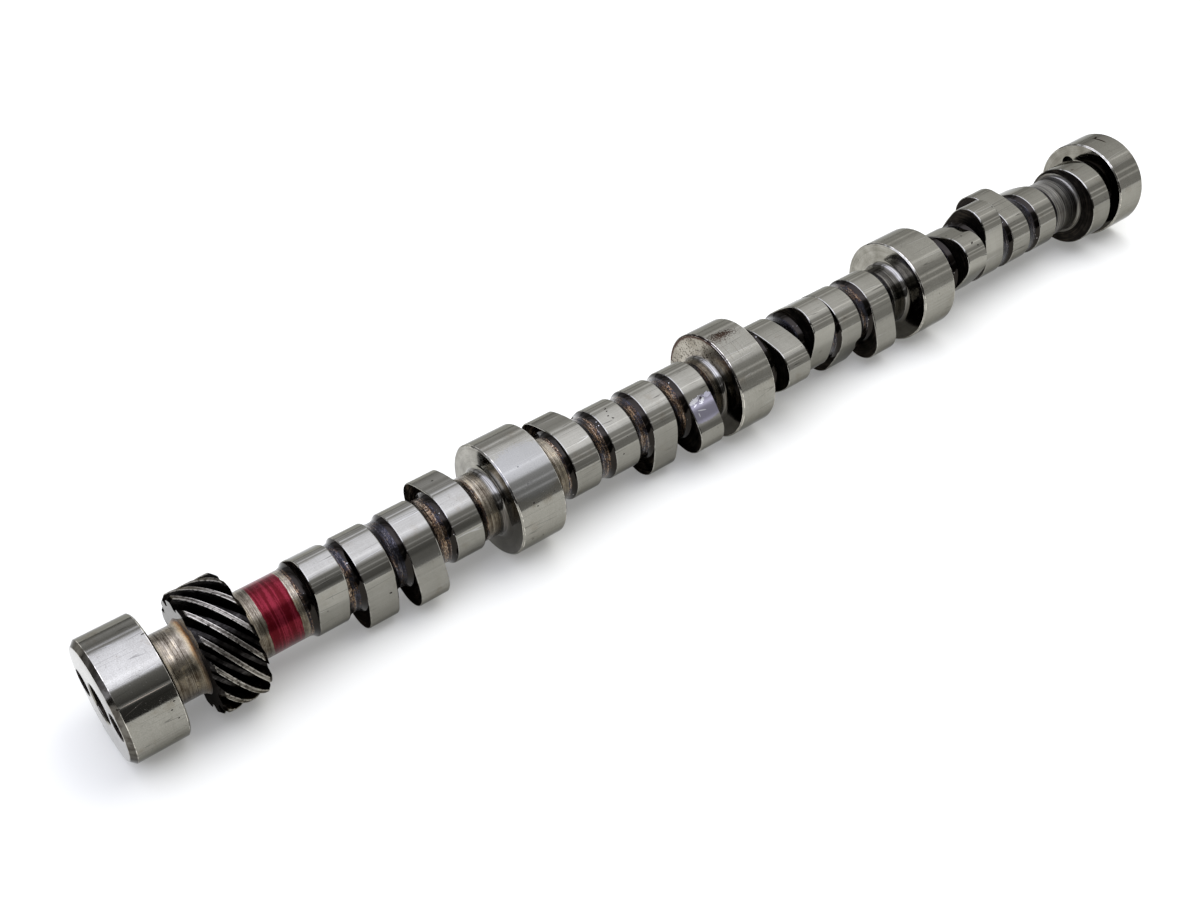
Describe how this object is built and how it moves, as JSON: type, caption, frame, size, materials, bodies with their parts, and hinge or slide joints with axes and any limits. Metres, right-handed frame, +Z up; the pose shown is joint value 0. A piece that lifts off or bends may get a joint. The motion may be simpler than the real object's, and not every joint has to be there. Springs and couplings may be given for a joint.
{
  "type": "camshaft",
  "caption": "Steel roller camshaft with round journals, pear-shaped lobes, a helical drive gear, an offset pump lobe and a bolted front face.",
  "frame": {"origin": "on the shaft's axis, in the front face where the timing gear bolts on", "axes": "+X along the shaft's axis, out of the front face; +Z up as the shaft lies on its journals"},
  "size_m": [0.5555, 0.0474, 0.0474],
  "materials": {
    "ground_steel": "ground journals and lobes, dark oxide between them",
    "pin_steel": "plain ground pin"
  },
  "bodies": {
    "root": {"camshaft": "ground_steel", "dowel_pin": "pin_steel"}
  },
  "joints": []
}
